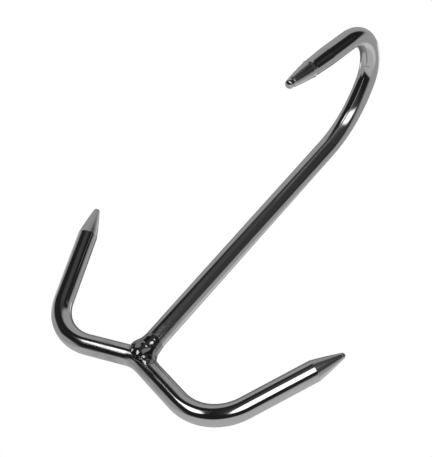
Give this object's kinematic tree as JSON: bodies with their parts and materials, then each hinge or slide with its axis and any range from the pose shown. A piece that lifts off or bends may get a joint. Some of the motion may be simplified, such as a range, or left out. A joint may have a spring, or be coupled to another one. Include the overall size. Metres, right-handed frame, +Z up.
{
  "type": "meat hook",
  "caption": "Welded double-prong hanging hook of polished round bar, with a wide rail hook above and ground points.",
  "frame": {"origin": "where the rail bears, on the inside of the rail hook at the top of its crown", "axes": "+Z up the shank as the hook hangs; the rail hook opens towards -Y at the front; the prongs reach out along -X and +X"},
  "size_m": [0.1643, 0.0686, 0.2136],
  "materials": {
    "hanger_bar": "polished stainless round bar, points ground and buffed",
    "prong_bar": "polished stainless round bar, points ground and buffed",
    "weld_metal": "stainless weld bead, buffed over its ripples"
  },
  "bodies": {
    "root": {"hanger_bar": "hanger_bar", "prong_bar": "prong_bar", "front_weld": "weld_metal", "back_weld": "weld_metal"}
  },
  "joints": []
}
